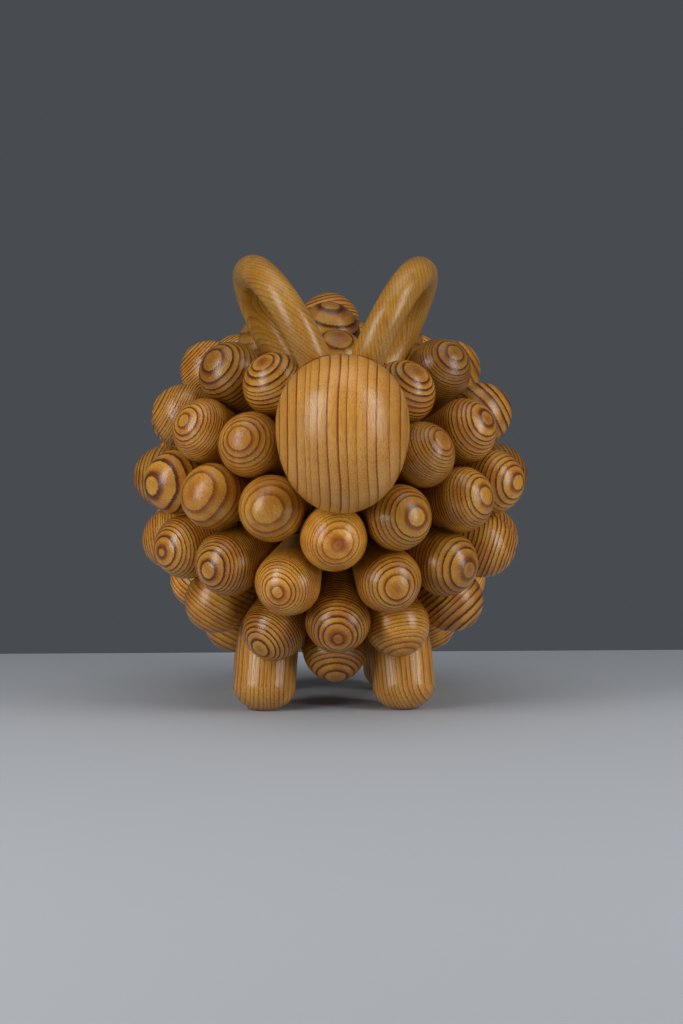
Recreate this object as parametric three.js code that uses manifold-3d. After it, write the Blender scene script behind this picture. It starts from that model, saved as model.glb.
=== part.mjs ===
// A wooden ram: a long ball stuck all over with turned pegs for its wool,
// an egg-shaped head with two arched horns, and four round-ended legs.
// Millimetres, +Z up. The face looks along -Y and the feet stand on Z = 0.
// Left and right are as seen by somebody who looks it in the face, so left is -X.
// Everything is laid out from the middle of the ball, then lifted onto its feet.

import * as THREE from 'three';
import { mergeVertices } from 'three/addons/utils/BufferGeometryUtils.js';
import Module from 'manifold-3d';

// The ball inside and the wool round it
const CORE_RADIUS = 55;
const WOOL_REACH = 94; // middle of the ball to the tip of a peg
const BODY_STRETCH = 14; // each end of the ball is drawn out by this, so the body is longer than wide
const STRETCH_RATE = 2.5; // how soon a peg that leans to an end takes the whole of that stretch
const CENTRE_HEIGHT = 102; // middle of the ball above the table

// Wool pegs
const PEG_SPACING = 21.6; // degrees between neighbours, seen from the middle of the ball
const SUNK_SPACING = 0.23; // degrees more for each millimetre that one of them sits deeper
const PEG_NECK_SHARE = 0.67; // width at the ball, as a share of the widest place
const PEG_BELLY_RISE = 24; // ball to the widest place
const PEG_TENON_DIAMETER = 8;
const PEG_TENON_LENGTH = 9;
const DOME_POWER = 1.9; // 2 is a half ball or half egg, less is more pointed
const GLUE_BEAD = 5; // thickness of the glue between neighbours in a back row

// Head
const HEAD_DIAMETER = 56.8;
const HEAD_CROWN_HEIGHT = 30; // widest place up to the crown
const HEAD_CHIN_DEPTH = 37.3; // widest place down to the chin
const HEAD_POWER = 2.12; // squarer than an egg
const HEAD_TUCK = 28.5; // how deep its back sits in the wool
const HEAD_LIFT = 29; // widest place above the middle of the ball
const NECK_DIAMETER = 16;
const NECK_IN_CORE = 18;
const NECK_IN_HEAD = 16;

// Horns: arches of round rod. Each plane leans out at the top and turns out at the back.
const HORN_ROD_DIAMETER = 14.6;
const HORN_DOWEL_DIAMETER = 6;
const HORN_DOWEL_LENGTH = 26;
const HORN_DOWEL_IN_HORN = 8;
const HORN_START_TURN = -50; // where the front limb starts before the head trims it, degrees
const HORN_END_TURN = 210; // where the back limb stops at the latest, degrees over the top
const HORN_TURN_STEP = 0.5; // degrees
const HORN_ROOM = 19; // degrees that the wool keeps from the end of a back limb
const LEFT_ARCH_RADIUS = 33.5;
const LEFT_ARCH_OUT = 22.3; // middle of the ball out to the middle of the arch
const LEFT_ARCH_RISE = 66.8; // middle of the ball up to the middle of the arch
const RIGHT_ARCH_RADIUS = 29.5;
const RIGHT_ARCH_OUT = 22.8;
const RIGHT_ARCH_RISE = 69;
const ARCH_FRONT = 105; // middle of the ball forwards to the front of either arch
const HORNS = [
  {
    name: 'left',
    side: -1,
    lean: 29,
    flare: 10,
    radius: LEFT_ARCH_RADIUS,
    out: LEFT_ARCH_OUT,
    rise: LEFT_ARCH_RISE,
  },
  {
    name: 'right',
    side: 1,
    lean: 27,
    flare: 13,
    radius: RIGHT_ARCH_RADIUS,
    out: RIGHT_ARCH_OUT,
    rise: RIGHT_ARCH_RISE,
  },
];

// Legs
const LEG_DIAMETER = 28.8;
const LEG_TRACK = 64.5; // left foot to right foot
const LEG_BASE = 71; // front foot to hind foot
const LEG_SPLAY_SIDE = 4.5; // degrees
const LEG_SPLAY_END = 12; // degrees
const LEG_ROUND_HEIGHT = 11.5;
const FOOT_CUT = 1; // taken off the round end, so that it stands flat
const LEG_STRAIGHT = 18; // straight stretch above the round end
const LEG_NECK_DIAMETER = 20;
const LEG_TENON_DIAMETER = 8;
const LEG_TENON_LENGTH = 7;
const LEG_ROOM = 17; // degrees that the wool keeps from the middle of a leg

const FIT = 0.3; // clearance between any two pieces
const SOCKET_WALL = 2; // wood of the ball between the sockets of a leg and of a peg

// How finely round shapes are cut into flats
const PEG_SIDES = 9;
const PEG_DOME_RINGS = 3;
const CORE_SIDES = 22;
const CORE_RINGS = 14;
const HEAD_SIDES = 22;
const HEAD_RINGS = 10;
const NECK_SIDES = 12;
const HORN_SIDES = 10;
const HORN_STEPS = 24;
const HORN_DOWEL_SIDES = 8;
const LEG_SIDES = 14;
const LEG_ROUND_RINGS = 4;
const GLUE_SIDES = 6;

// Wool places: rows round an axis that leans towards the face. Each row has its height and its
// places, in degrees, turned from the face towards +X. A place that was drilled off its row is
// written [turn, height]. Front places are pieces of their own, and back places share one piece.
// The pegs of the two highest rows are sunk, which leaves the wool flatter on top.
const ROW_TILT = 12;
const BACK_DROP = 6; // the rows dip less behind, so they lie this much lower there
const TOP_SINK = 5; // how much deeper the pegs of the two highest rows sit
const ROWS = [
  { name: 'top', height: 82, sink: TOP_SINK, front: [-20], back: [] },
  { name: 'crown', height: 65, sink: TOP_SINK, front: [-104, 0, 106], back: [] },
  {
    name: 'nape',
    height: 48,
    front: [[-57, 49], [-30, 49], [34, 48], [63, 50]],
    back: [101, [131, 41], [163, 52], [180, 77], [197, 52], [229, 40], 259],
  },
  {
    name: 'collar',
    height: 27,
    front: [[-80, 28], -57, [-32, 28.5], [30, 26], 54, [79, 29]],
    back: [104, 129, 154, [180, 29], 206, 231, 256],
  },
  {
    name: 'middle',
    height: 7,
    front: [[-88, 4], -66, -45, -22, [19, 5], 44, 65, [87, 5]],
    back: [112, 135, 158, 180, 202, 225, 248],
  },
  { name: 'breast', height: -2, front: [-2], back: [] },
  {
    name: 'flank',
    height: -15,
    front: [[-85, -18], -61, -40, [-18, -19], [17, -18], 39, 62, [86, -18]],
    back: [108, 131, 155, 180, 205, 229, 252],
  },
  {
    name: 'belly',
    height: -38,
    front: [-97, [-60, -43], [-29, -43], [0, -35], [27, -40], [60, -43], 97],
    back: [125, 153, 180, 207, 235],
  },
  { name: 'under', height: -57, front: [-71, 0, 71], back: [155, [180, -80], 205] },
];

const wasm = await Module();
wasm.setup();
const rad = THREE.MathUtils.degToRad;
const UP = new THREE.Vector3(0, 1, 0); // a lathe turns about Y

// Turns a closed three.js geometry into a solid that can be cut and joined.
function solidOf(geometry) {
  const bare = geometry.index ? geometry.toNonIndexed() : geometry.clone();
  for (const extra of Object.keys(bare.attributes)) {
    if (extra !== 'position') {
      bare.deleteAttribute(extra);
    }
  }
  const merged = mergeVertices(bare, 1e-4);
  const corners = merged.index.array;
  const kept = [];
  for (let i = 0; i < corners.length; i += 3) {
    const [a, b, c] = [corners[i], corners[i + 1], corners[i + 2]];
    if (a !== b && b !== c && c !== a) {
      kept.push(a, b, c);
    }
  }
  return new wasm.Manifold(new wasm.Mesh({
    numProp: 3,
    vertProperties: new Float32Array(merged.attributes.position.array),
    triVerts: new Uint32Array(kept),
  }));
}

function geometryOf(solid) {
  const mesh = solid.getMesh();
  const points = new Float32Array(mesh.vertProperties.length / mesh.numProp * 3);
  for (let i = 0; i < points.length / 3; i += 1) {
    points.set(mesh.vertProperties.subarray(i * mesh.numProp, i * mesh.numProp + 3), i * 3);
  }
  const geometry = new THREE.BufferGeometry();
  geometry.setAttribute('position', new THREE.BufferAttribute(points, 3));
  geometry.setIndex(new THREE.BufferAttribute(new Uint32Array(mesh.triVerts), 1));
  geometry.computeVertexNormals();
  return geometry;
}

// A solid turned about Y. The profile lists [radius, height] upwards, from axis to axis.
function turned(profile, sides) {
  const points = profile.map(([radius, height]) => new THREE.Vector2(radius, height));
  return solidOf(new THREE.LatheGeometry(points, sides));
}

// Stands a solid that was turned about Y on a point, with its axis along a direction.
function stand(solid, point, direction) {
  const turn = new THREE.Quaternion().setFromUnitVectors(UP, direction.clone().normalize());
  const matrix = new THREE.Matrix4().compose(point, turn, new THREE.Vector3(1, 1, 1));
  return solid.transform(matrix.elements);
}

function rod(diameter, length, sides) {
  return turned([[0, 0], [diameter / 2, 0], [diameter / 2, length], [0, length]], sides);
}

// Wool directions
function direction(height, turn) {
  const aim = new THREE.Vector3(Math.sin(rad(turn)), -Math.cos(rad(turn)), Math.tan(rad(height)));
  return aim.normalize().applyAxisAngle(new THREE.Vector3(1, 0, 0), rad(ROW_TILT));
}

// Where a peg's axis starts, on the long axis of the body.
function baseOf(aim) {
  return new THREE.Vector3(0, BODY_STRETCH * THREE.MathUtils.clamp(STRETCH_RATE * aim.y, -1, 1), 0);
}

// Where two places are too close, each gives way by its own share.
const FRONT_GIVE = 0.25;
const BACK_GIVE = 1;
const EASE_STEP = 0.6;
const EASE_PASSES = 400;
const places = [];
for (const row of ROWS) {
  const put = (place, number, give) => {
    const [turn, height] = Array.isArray(place) ? place : [place, row.height];
    const dip = BACK_DROP * Math.min(0, Math.cos(rad(turn)));
    const sink = row.sink ?? 0;
    places.push({ row: row.name, number, aim: direction(height + dip, turn), give, sink });
  };
  row.front.forEach((place, i) => put(place, i + 1, FRONT_GIVE));
  row.back.forEach((place) => put(place, 0, BACK_GIVE));
}

// Legs: the foot, the way up to the ball and the place where the way meets the ball
const footRise = Math.hypot(LEG_ROUND_HEIGHT, LEG_DIAMETER / 2 * Math.sin(rad(LEG_SPLAY_END))) - FOOT_CUT;
const legs = [];
for (const [end, endName] of [[-1, 'front'], [1, 'hind']]) {
  for (const [side, sideName] of [[-1, 'left'], [1, 'right']]) {
    const foot = new THREE.Vector3(side * LEG_TRACK / 2, end * LEG_BASE / 2, footRise - CENTRE_HEIGHT);
    const [leanX, leanY] = [Math.tan(rad(LEG_SPLAY_SIDE)), Math.tan(rad(LEG_SPLAY_END))];
    const way = new THREE.Vector3(-side * leanX, -end * leanY, 1).normalize();
    legs.push({ name: `${endName}_${sideName}_leg`, foot, way });
  }
}

// How far outside the ball a point lies.
function coreGap(point) {
  const beyond = Math.max(Math.abs(point.y) - BODY_STRETCH, 0);
  return Math.hypot(point.x, beyond, point.z) - CORE_RADIUS;
}

// The shortest way from a point into the ball.
function inwards(point) {
  const axisPoint = new THREE.Vector3(0, THREE.MathUtils.clamp(point.y, -BODY_STRETCH, BODY_STRETCH), 0);
  return axisPoint.sub(point).normalize();
}

// How far along a way from a point the ball is met.
const HALVINGS = 40;
function reachCore(point, way) {
  let near = 0;
  let far = point.length();
  for (let i = 0; i < HALVINGS; i += 1) {
    const middle = (near + far) / 2;
    if (coreGap(point.clone().addScaledVector(way, middle)) > 0) {
      near = middle;
    } else {
      far = middle;
    }
  }
  return near;
}
for (const leg of legs) {
  leg.length = reachCore(leg.foot, leg.way);
}

// Horns: the arch as a curve, in degrees from its foremost point over the top.
// Its back limb stops where it comes down to the ball.
class Arch extends THREE.Curve {
  constructor({ side, lean, flare, radius, out, rise }) {
    super();
    this.up = new THREE.Vector3(side * Math.sin(rad(lean)), 0, Math.cos(rad(lean)));
    this.back = new THREE.Vector3(side * Math.sin(rad(flare)), Math.cos(rad(flare)), 0);
    this.back.addScaledVector(this.up, -this.back.dot(this.up)).normalize();
    this.middle = new THREE.Vector3(side * out, radius - ARCH_FRONT, rise);
    this.radius = radius;
    this.from = HORN_START_TURN;
    this.to = 180;
    while (this.to < HORN_END_TURN && coreGap(this.at(this.to)) > HORN_ROD_DIAMETER / 2 + FIT) {
      this.to += HORN_TURN_STEP;
    }
  }

  at(turn) {
    const point = this.middle.clone();
    point.addScaledVector(this.back, -this.radius * Math.cos(rad(turn)));
    return point.addScaledVector(this.up, this.radius * Math.sin(rad(turn)));
  }

  getPoint(t) {
    return this.at(this.from + (this.to - this.from) * t);
  }

  along(turn) {
    return this.at(turn + HORN_TURN_STEP).sub(this.at(turn - HORN_TURN_STEP)).normalize();
  }
}
const arches = HORNS.map((horn) => new Arch(horn));

// A leg or a horn stands in the wool, and has its direction from an end of the ball's long axis.
function standing(point, room) {
  const aim = point.clone();
  aim.y -= Math.sign(point.y) * BODY_STRETCH;
  return { aim: aim.normalize(), give: 0, room };
}

// Degrees between a leg and a peg where they enter the ball, so that their sockets stay apart
// down to their ends
const socketGap = (PEG_TENON_DIAMETER + LEG_TENON_DIAMETER) / 2 + 2 * FIT + SOCKET_WALL;
const socketDepth = Math.min(PEG_TENON_LENGTH, LEG_TENON_LENGTH);
const seatRoom = THREE.MathUtils.radToDeg(socketGap / (CORE_RADIUS - socketDepth));

// Pushes the wool places apart until neighbours stand clear of each other, and out of the way of
// the legs and of the back limbs of the horns.
function easeApart() {
  const fixed = legs.flatMap((leg) => {
    const seat = leg.foot.clone().addScaledVector(leg.way, leg.length);
    const amongPegs = seat.clone().addScaledVector(leg.way, -PEG_BELLY_RISE);
    return [standing(seat, seatRoom), standing(amongPegs, LEG_ROOM)];
  });
  arches.forEach((arch) => fixed.push(standing(arch.at(arch.to), HORN_ROOM)));
  const all = [...places, ...fixed];
  for (let pass = 0; pass < EASE_PASSES; pass += 1) {
    for (let i = 0; i < places.length; i += 1) {
      for (let j = i + 1; j < all.length; j += 1) {
        const room = all[j].room ?? PEG_SPACING + SUNK_SPACING * (all[i].sink + all[j].sink);
        const lack = rad(room) - all[i].aim.angleTo(all[j].aim);
        if (lack > 0) {
          const push = all[i].aim.clone().sub(all[j].aim).normalize();
          const step = EASE_STEP * lack / (all[i].give + all[j].give);
          all[i].aim.addScaledVector(push, step * all[i].give).normalize();
          all[j].aim.addScaledVector(push, -step * all[j].give).normalize();
        }
      }
    }
  }
}
easeApart();

let closest = Math.PI;
for (let i = 0; i < places.length; i += 1) {
  for (let j = i + 1; j < places.length; j += 1) {
    const extra = rad(SUNK_SPACING * (places[i].sink + places[j].sink));
    closest = Math.min(closest, places[i].aim.angleTo(places[j].aim) - extra);
  }
}

// Where a peg's own profile starts: a sunk peg starts that much lower on its axis.
function startOf(place) {
  return baseOf(place.aim).addScaledVector(place.aim, -place.sink);
}

// A peg is as thick as its closest neighbour lets it be.
const half = Math.sin(closest / 2);
const bellyAt = CORE_RADIUS + PEG_BELLY_RISE;
const pegRadius = bellyAt * half / Math.cos(closest / 2) - FIT / 2;

// Peg profile, from the end of its tenon. grow makes the same shape larger for a cutter.
function pegProfile(grow) {
  const neck = pegRadius * PEG_NECK_SHARE + grow;
  const tenon = PEG_TENON_DIAMETER / 2 + grow;
  const seat = CORE_RADIUS + FIT - grow;
  const profile = [
    [0, CORE_RADIUS - PEG_TENON_LENGTH - grow],
    [tenon, CORE_RADIUS - PEG_TENON_LENGTH - grow],
    [tenon, seat],
    [neck, seat],
  ];
  const dome = WOOL_REACH - bellyAt;
  for (let i = 0; i <= PEG_DOME_RINGS; i += 1) {
    const angle = i / PEG_DOME_RINGS * Math.PI / 2;
    const radius = i < PEG_DOME_RINGS ? (pegRadius + grow) * Math.cos(angle) ** (2 / DOME_POWER) : 0;
    profile.push([radius, bellyAt + (dome + grow) * Math.sin(angle) ** (2 / DOME_POWER)]);
  }
  return profile;
}
const peg = turned(pegProfile(0), PEG_SIDES);
const pegCutter = turned(pegProfile(FIT), PEG_SIDES);
const cutters = places.map((place) => stand(pegCutter, startOf(place), place.aim));

// Cuts a clearance for every peg that reaches into a piece.
function clearOfWool(solid) {
  return cutters.reduce((left, cutter) => left.subtract(cutter), solid);
}

// Ball: all its skin is CORE_RADIUS from where the axis of a peg there would start.
function coreSolid() {
  const profile = [];
  for (let i = 0; i <= CORE_RINGS; i += 1) {
    const angle = (i / CORE_RINGS - 0.5) * Math.PI;
    const aim = new THREE.Vector3(0, Math.sin(angle), 0);
    const radius = i % CORE_RINGS === 0 ? 0 : CORE_RADIUS * Math.cos(angle);
    profile.push([radius, CORE_RADIUS * aim.y + baseOf(aim).y]);
  }
  return turned(profile, CORE_SIDES);
}

// Head: an egg on end, with its widest place above the middle
const headBack = HEAD_TUCK - WOOL_REACH - BODY_STRETCH;
const headMiddle = new THREE.Vector3(0, headBack - HEAD_DIAMETER / 2, HEAD_LIFT);
function headSolid(grow) {
  const profile = [];
  const halfWidth = HEAD_DIAMETER / 2 + grow;
  for (let i = 0; i <= HEAD_RINGS; i += 1) {
    const angle = (i / HEAD_RINGS - 0.5) * Math.PI;
    const tall = (angle < 0 ? HEAD_CHIN_DEPTH : HEAD_CROWN_HEIGHT) + grow;
    const rise = Math.sign(angle) * tall * Math.abs(Math.sin(angle)) ** (2 / HEAD_POWER);
    const wide = i % HEAD_RINGS === 0 ? 0 : halfWidth * Math.cos(angle) ** (2 / HEAD_POWER);
    profile.push([wide, rise]);
  }
  return stand(turned(profile, HEAD_SIDES), headMiddle, new THREE.Vector3(0, 0, 1));
}

// Neck: a dowel that runs from the front end of the ball's long axis towards the head's middle
const frontEnd = new THREE.Vector3(0, -BODY_STRETCH, 0);
const neckWay = headMiddle.clone().sub(frontEnd).normalize();
const neckStart = frontEnd.clone().addScaledVector(neckWay, CORE_RADIUS - NECK_IN_CORE);
const neckLength = headMiddle.distanceTo(neckStart) - HEAD_DIAMETER / 2 + NECK_IN_HEAD;
function neckSolid(grow) {
  const start = neckStart.clone().addScaledVector(neckWay, -grow);
  return stand(rod(NECK_DIAMETER + 2 * grow, neckLength + 2 * grow, NECK_SIDES), start, neckWay);
}

// Horns and their dowels. The front dowel goes on along the rod, and the back one turns in
// towards the ball.
function hornSolid(arch) {
  const section = [];
  const radius = HORN_ROD_DIAMETER / 2;
  for (let i = 0; i < HORN_SIDES; i += 1) {
    const angle = i / HORN_SIDES * 2 * Math.PI;
    section.push(new THREE.Vector2(radius * Math.cos(angle), radius * Math.sin(angle)));
  }
  return solidOf(new THREE.ExtrudeGeometry(new THREE.Shape(section), {
    steps: HORN_STEPS,
    bevelEnabled: false,
    extrudePath: arch,
  }));
}

function hornDowel(arch, atFoot, grow) {
  const turn = atFoot ? arch.footTurn : arch.to;
  const way = arch.along(turn).multiplyScalar(atFoot ? -1 : 1);
  if (!atFoot) {
    way.add(inwards(arch.at(turn))).normalize();
  }
  const start = arch.at(turn).addScaledVector(way, -HORN_DOWEL_IN_HORN - grow);
  const dowel = rod(HORN_DOWEL_DIAMETER + 2 * grow, HORN_DOWEL_LENGTH + 2 * grow, HORN_DOWEL_SIDES);
  return stand(dowel, start, way);
}

// The foot of a horn is where its arch, followed down from the top, comes to the crown of the head.
for (const arch of arches) {
  arch.footTurn = 90;
  const clearOfHead = (at) => {
    const off = at.clone().sub(headMiddle);
    const wide = Math.hypot(off.x, off.y) / (HEAD_DIAMETER / 2);
    return wide ** HEAD_POWER + Math.abs(off.z / HEAD_CROWN_HEIGHT) ** HEAD_POWER > 1;
  };
  while (clearOfHead(arch.at(arch.footTurn)) && arch.footTurn > arch.from) {
    arch.footTurn -= HORN_TURN_STEP;
  }
}

// Leg, standing on Y = 0 at the widest place of its round end
function legSolid(leg, grow) {
  const radius = LEG_DIAMETER / 2 + grow;
  const profile = [];
  for (let i = 0; i <= LEG_ROUND_RINGS; i += 1) {
    const angle = (i / LEG_ROUND_RINGS - 1) * Math.PI / 2;
    profile.push([i === 0 ? 0 : radius * Math.cos(angle), (LEG_ROUND_HEIGHT + grow) * Math.sin(angle)]);
  }
  const tenon = LEG_TENON_DIAMETER / 2 + grow;
  const seat = leg.length - FIT + grow;
  const tip = leg.length + LEG_TENON_LENGTH + grow;
  profile.push([radius, LEG_STRAIGHT]);
  profile.push([LEG_NECK_DIAMETER / 2 + grow, seat]);
  profile.push([tenon, seat]);
  profile.push([tenon, tip]);
  profile.push([0, tip]);
  return stand(turned(profile, LEG_SIDES), leg.foot, leg.way);
}

// Colours of clear-lacquered pine
const PINE = 0xb87c3a;
const DARK_PINE = 0x8a4a1e;
const PALE_PINE = 0xc08a4a;
const BEECH = 0xcaa070;

const body = new THREE.Group();
function add(name, geometry, colour) {
  const material = new THREE.MeshStandardMaterial({ color: colour, roughness: 0.4, metalness: 0 });
  const mesh = new THREE.Mesh(geometry, material);
  mesh.name = name;
  body.add(mesh);
  return mesh;
}

const head = headSolid(0);
let core = clearOfWool(coreSolid()).subtract(neckSolid(FIT));
let drilledHead = clearOfWool(head).subtract(neckSolid(FIT));

HORNS.forEach((horn, i) => {
  const arch = arches[i];
  const footCutter = hornDowel(arch, true, FIT);
  const endCutter = hornDowel(arch, false, FIT);
  const solid = hornSolid(arch).subtract(headSolid(FIT)).subtract(footCutter).subtract(endCutter);
  add(`${horn.name}_horn`, geometryOf(clearOfWool(solid)), PALE_PINE);
  add(`${horn.name}_horn_front_dowel`, geometryOf(hornDowel(arch, true, 0)), BEECH);
  add(`${horn.name}_horn_back_dowel`, geometryOf(hornDowel(arch, false, 0)), BEECH);
  drilledHead = drilledHead.subtract(footCutter);
  core = core.subtract(endCutter);
});

// What a leg's round end has below the table is sanded off.
function sandingBlock(leg) {
  const block = new THREE.BoxGeometry(2 * LEG_DIAMETER, 2 * LEG_DIAMETER, LEG_ROUND_HEIGHT);
  return solidOf(block).translate([leg.foot.x, leg.foot.y, -CENTRE_HEIGHT - LEG_ROUND_HEIGHT / 2]);
}
for (const leg of legs) {
  const solid = clearOfWool(legSolid(leg, 0)).subtract(sandingBlock(leg));
  add(leg.name, geometryOf(solid), PINE);
  core = core.subtract(legSolid(leg, FIT));
}

add('core_ball', geometryOf(core), DARK_PINE);
add('head', geometryOf(drilledHead), PINE);
add('neck_dowel', geometryOf(neckSolid(0)), BEECH);

// Wool: one piece for each front place
const pegGeometry = geometryOf(peg);
for (const place of places.filter((each) => each.number > 0)) {
  const mesh = add(`${place.row}_knob_${place.number}`, pegGeometry, PINE);
  mesh.position.copy(startOf(place));
  mesh.quaternion.setFromUnitVectors(UP, place.aim);
}

// Back places of a row: neighbours are held together by a bead of glue between their bellies.
for (const row of ROWS.filter((each) => each.back.length > 0)) {
  const members = places.filter((place) => place.row === row.name && place.number === 0);
  let joined = null;
  members.forEach((place, i) => {
    const start = startOf(place);
    const solid = stand(peg, start, place.aim);
    joined = joined ? joined.add(solid) : solid;
    if (i > 0) {
      const here = start.addScaledVector(place.aim, bellyAt);
      const before = members[i - 1];
      const there = startOf(before).addScaledVector(before.aim, bellyAt);
      const bead = rod(GLUE_BEAD, here.distanceTo(there), GLUE_SIDES);
      joined = joined.add(stand(bead, there, here.clone().sub(there)));
    }
  });
  add(`${row.name}_back_knobs`, geometryOf(joined), PINE);
}

// Onto its feet, centred over the origin
const ram = new THREE.Group();
ram.add(body);
ram.updateMatrixWorld(true);
const box = new THREE.Box3().setFromObject(body, true);
body.position.set(-(box.min.x + box.max.x) / 2, -(box.min.y + box.max.y) / 2, CENTRE_HEIGHT);

export default ram;
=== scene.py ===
"""A wooden ram, dressed for rendering.

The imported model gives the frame: where the head and every peg are. The horns and legs are set out
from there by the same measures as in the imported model. Each piece is worked out again here as a
smooth surface and gets the growth rings of the pine that it was made from. Lengths are in
millimetres unless a comment says otherwise, and a mesh is written in metres.
"""

import math

import bpy
import numpy as np
from mathutils import Matrix, Vector


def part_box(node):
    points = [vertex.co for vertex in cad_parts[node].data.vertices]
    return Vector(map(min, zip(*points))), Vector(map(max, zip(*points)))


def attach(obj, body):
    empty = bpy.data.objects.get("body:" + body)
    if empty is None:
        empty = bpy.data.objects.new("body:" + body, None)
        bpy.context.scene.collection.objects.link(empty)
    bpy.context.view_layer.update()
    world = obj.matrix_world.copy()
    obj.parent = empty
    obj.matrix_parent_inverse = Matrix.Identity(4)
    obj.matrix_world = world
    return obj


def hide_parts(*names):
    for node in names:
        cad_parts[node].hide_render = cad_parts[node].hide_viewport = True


bl_info = {
    "name": "Wooden Ram",
    "version": (1, 0, 0),
    "blender": (4, 5, 0),
    "location": "3D View > Sidebar > Ram",
    "description": "Turns the pegs, head, horns and legs of a wooden ram and finishes them in pine",
    "category": "Add Mesh",
}

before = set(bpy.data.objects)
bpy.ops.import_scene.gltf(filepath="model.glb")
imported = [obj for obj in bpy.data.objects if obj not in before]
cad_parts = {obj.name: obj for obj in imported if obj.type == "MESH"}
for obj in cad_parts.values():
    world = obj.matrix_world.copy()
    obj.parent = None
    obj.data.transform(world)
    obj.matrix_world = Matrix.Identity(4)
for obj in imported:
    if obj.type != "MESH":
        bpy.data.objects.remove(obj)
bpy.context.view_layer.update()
MM = 0.001

CLEARANCE = 0.3  # mm of air that stands in for a film of glue
TENON_LENGTH = 9  # mm of a peg that go into the ball
TENON_BEVEL = 0.6  # mm taken off the end of a tenon
DOME_POWER = 1.9  # superellipse of a peg's dome: at 2 it would be an ellipse
EGG_POWER = 2.12  # superellipse of the head, a little fuller than an ellipse
START_SLOPE = 2.5  # how soon the axes of pegs spread over the drawn-out ends of the ball
MOST_SUNK = 8  # mm that a peg may stand deeper in the ball than the others
BELLY_POWER = 50  # how tightly the side of a peg rounds over into its dome
TRIM = 0.012  # most that a peg is thinner than the others, as a share
SHARP_ANGLE = 42  # degrees between faces from which an edge is sharp
AIM_ROUNDS = 40  # rounds in which the direction of a peg and its start are found
TIP_BAND = 0.2  # mm under the highest corner of a peg within which a corner is a tip
WAY_STEPS, WAY_HALVINGS = 20, 8  # steps from an axis to the skin, and halvings of the last one
SADDLE_TURNS = (-75, 60)  # degrees over the top between which a horn leaves the head
SADDLE_HALVINGS = 30  # halvings that find where it does
TIP_FLAT = 0.05  # mm by which the very tip of a peg is worn flat

# Corners round each kind of piece, and rows of corners along it or along its stretches
PEG_SIDES, PEG_SIDE_ROWS, PEG_DOME_ROWS = 64, 12, 25
HEAD_SIDES, HEAD_ROWS = 160, 121
HORN_SIDES, HORN_ROWS = 48, 150
LEG_SIDES, LEG_BOTTOM_ROWS, LEG_STRAIGHT_ROWS, LEG_TAPER_ROWS = 96, 22, 14, 23

# Legs, in mm and degrees: feet apart sideways and lengthwise, lean towards the ball sideways and
# lengthwise, heights of the round bottom, of the straight part, of the taper and of the tenon's
# tip above the middle of the foot, and radii of the taper's top and of the tenon
LEG_TRACK, LEG_BASE = 64.5, 71
LEG_SIDE_LEAN, LEG_END_LEAN = 4.5, 12
LEG_BOTTOM, LEG_STRAIGHT, LEG_TAPER, LEG_TIP = 11.5, 18, 46.8, 53.8
LEG_NECK, LEG_TENON = 10, 4
LEG_STRAIGHT_START = 0.8  # height of the first row of the straight part
LEG_CURVE = 1.15  # how the taper curves in: at 1 it would be straight
FOOT_CUT = 1  # mm sanded off the lowest point of a leg
LEGS = (  # end and side of the ball, how far its layers are turned (degrees), and name
    (-1, -1, 8, "front_left_leg"), (-1, 1, -14, "front_right_leg"),
    (1, -1, 22, "hind_left_leg"), (1, 1, -18, "hind_right_leg"),
)

# Wood: mm from the middle of a piece to the pith of the log that it was turned from, and mm from
# one dark line to the next. The hidden pieces share a pith at one height in mm.
PEG_PITH = (70, 170)
HEAD_PITH = 110
HORN_PITH, HORN_RING = 90, 1.5
LEG_PITH, LEG_RING = 45, 1.9
HIDDEN_PITH = 72
RING_COUNT, RING_SPREAD = 120, 0.34  # rings laid out at once, and how far their widths vary
TIMBER_REACH = 500  # mm from the middle of the timber within which every peg is taken
LEG_APART = 300  # mm between the legs in the timber
HEAD_TURN = 3  # degrees that the layers of the head are turned
HEAD_FIBRE, HORN_FIBRE = (0.02, 0.03, 1.0), (0.25, 0.1, -0.95)
HORN_SEED, LEG_SEED = 31, 51  # seeds of the chance numbers of their rings

# Colours of the wood as sRGB hex: pale, leading up to a line, and the line. The pegs' three and
# the horns' first are among the properties.
HEAD_WOOD = ("C69244", "BA7E2E", "7A3A0A")
HORN_LEAD, HORN_LINE = "A46C22", "6A3A10"
LEG_WOOD = ("CE9844", "B4742A", "6E3812")
# The ball's colours are painted shade: dark enough that the gaps between pegs read nearly black
BALL_PAINTED_SHADE = ("4A2E14", "3E2510", "241206")
DOWEL_WOOD = ("CBA070", "C09060", "A87848")
EYE_COLOUR = "843F12"

# Eye of a peg, where the rings close: mm out to which it is orange, and mm over which the rings
# begin to stray, from a least share
EYE_RADIUS, STEADY_RADIUS, LEAST_STRAY = 3.2, 9, 0.12

# Horns: which side, radius of the arch, how far its plane leans and flares (degrees), and the
# middle of the arch from the middle of the ball (out, up, and the front of the arch forwards).
# The arch runs over the top from the head to end_turn, in degrees, and its wood is layered along
# the way that layers points.
HORNS = (
    {"side": -1, "radius": 33.5, "lean": 29, "flare": 10, "out": 22.3, "rise": 66.8,
     "foot": 105, "end_turn": 204, "layers": (0.42, 0.30, 0.86)},
    {"side": 1, "radius": 29.5, "lean": 27, "flare": 13, "out": 22.8, "rise": 69,
     "foot": 105, "end_turn": 210, "layers": (0.97, 0.22, 0.12)},
)
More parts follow.
